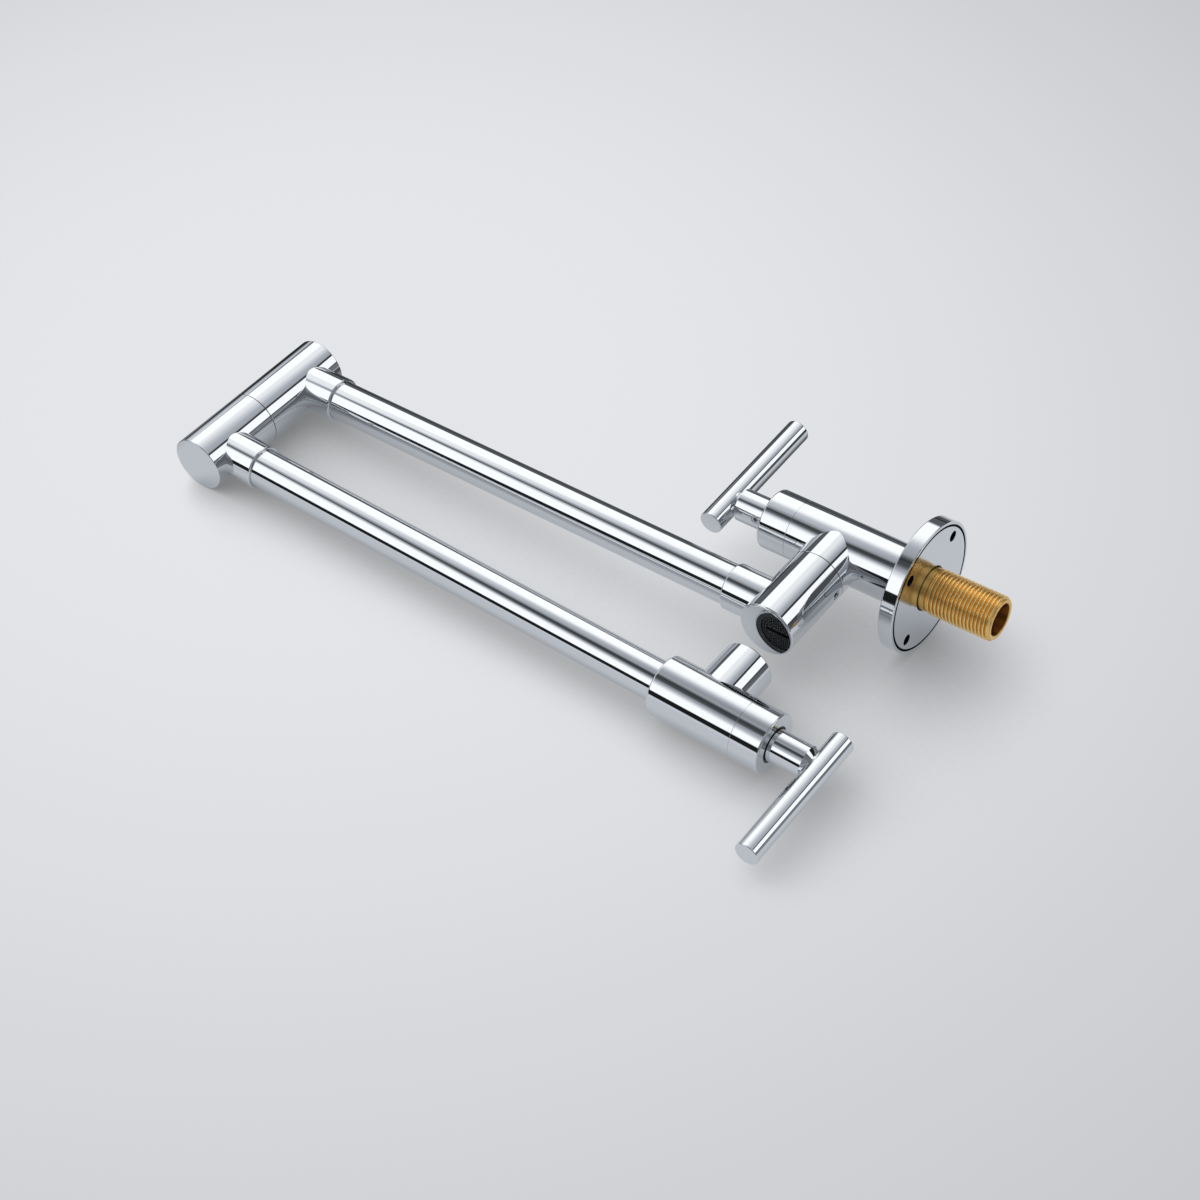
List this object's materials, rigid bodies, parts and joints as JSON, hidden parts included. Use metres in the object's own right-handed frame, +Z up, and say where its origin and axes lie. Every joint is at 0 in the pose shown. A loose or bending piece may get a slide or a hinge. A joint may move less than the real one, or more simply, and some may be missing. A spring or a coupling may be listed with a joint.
{
  "type": "pot filler tap",
  "caption": "Folding wall-mounted pot filler tap with swivelling arms, quarter-turn T-bar valves at wall and spout, a round wall cover and a threaded inlet.",
  "frame": {"origin": "on the inlet's axis, in the plane of the wall (back face of the wall plate)", "axes": "+Y runs into the wall along the inlet nipple, +Z is up along both swivel axes, +X completes the right-handed frame"},
  "size_m": [0.0624, 0.3735, 0.2089],
  "materials": {
    "polished_chrome": "mirror-polished chrome plate on brass",
    "brass": "machined",
    "rubber": "matte",
    "ceramic": "lapped",
    "black_plastic": "moulded",
    "white_plastic": "moulded",
    "steel": "turned"
  },
  "bodies": {
    "wall_and_inlet": {"wall_plate": "polished_chrome", "wall_cover": "polished_chrome", "wall_cover_ring": "rubber", "inlet_nipple": "brass", "inlet_nipple_gasket": "rubber", "inlet_valve_body": "polished_chrome", "inlet_valve_collar": "polished_chrome", "inlet_handle_bush": "black_plastic", "inlet_cartridge_housing": "brass", "inlet_body_seal_ring": "rubber", "inlet_seat_seal": "rubber", "inlet_fixed_disc": "ceramic", "inlet_runner_washer": "white_plastic", "base_swivel_post": "brass", "base_swivel_seal_rings": "rubber", "base_swivel_washer": "black_plastic"},
    "inlet_handle": {"inlet_turning_disc": "ceramic", "inlet_stem": "brass", "inlet_stem_seal_rings": "rubber", "inlet_stem_clip": "steel", "inlet_handle_hub": "polished_chrome", "inlet_handle_bar": "polished_chrome", "inlet_handle_screw": "steel"},
    "inner_arm": {"base_swivel_sleeve": "polished_chrome", "base_swivel_screw": "steel", "inner_arm_tube": "polished_chrome", "elbow_lower_housing": "polished_chrome", "elbow_post": "brass", "elbow_seal_rings": "rubber", "elbow_washer": "black_plastic"},
    "outer_arm": {"elbow_upper_housing": "polished_chrome", "elbow_screw": "steel", "outer_arm_tube": "polished_chrome", "outlet_valve_body": "polished_chrome", "outlet_valve_collar": "polished_chrome", "outlet_handle_bush": "black_plastic", "outlet_cartridge_housing": "brass", "outlet_body_seal_ring": "rubber", "outlet_seat_seal": "rubber", "outlet_fixed_disc": "ceramic", "outlet_runner_washer": "white_plastic", "aerator_washer": "rubber", "aerator_shell": "black_plastic", "aerator_flow_straightener": "white_plastic", "aerator_grille": "black_plastic"},
    "outlet_handle": {"outlet_turning_disc": "ceramic", "outlet_stem": "brass", "outlet_stem_seal_rings": "rubber", "outlet_stem_clip": "steel", "outlet_handle_hub": "polished_chrome", "outlet_handle_bar": "polished_chrome", "outlet_handle_screw": "steel"}
  },
  "joints": [
    {"name": "base_swivel", "type": "hinge", "parent": "wall_and_inlet", "child": "inner_arm", "pos_m": [0, -0.0446, 0.0208], "axis": [0, 0, 1], "range_deg": [-90, 90]},
    {"name": "elbow_swivel", "type": "hinge", "parent": "inner_arm", "child": "outer_arm", "pos_m": [-0.00196, -0.32489, 0.0785], "axis": [0, 0, 1], "continuous": true},
    {"name": "inlet_handle_turn", "type": "hinge", "parent": "wall_and_inlet", "child": "inlet_handle", "pos_m": [0, -0.0668, 0], "axis": [0, -1, 0], "range_deg": [0, 90]},
    {"name": "outlet_handle_turn", "type": "hinge", "parent": "outer_arm", "child": "outlet_handle", "pos_m": [0.01368, -0.0266, 0.1018], "axis": [0.0523, 0.9986, 0], "range_deg": [0, 90]}
  ]
}
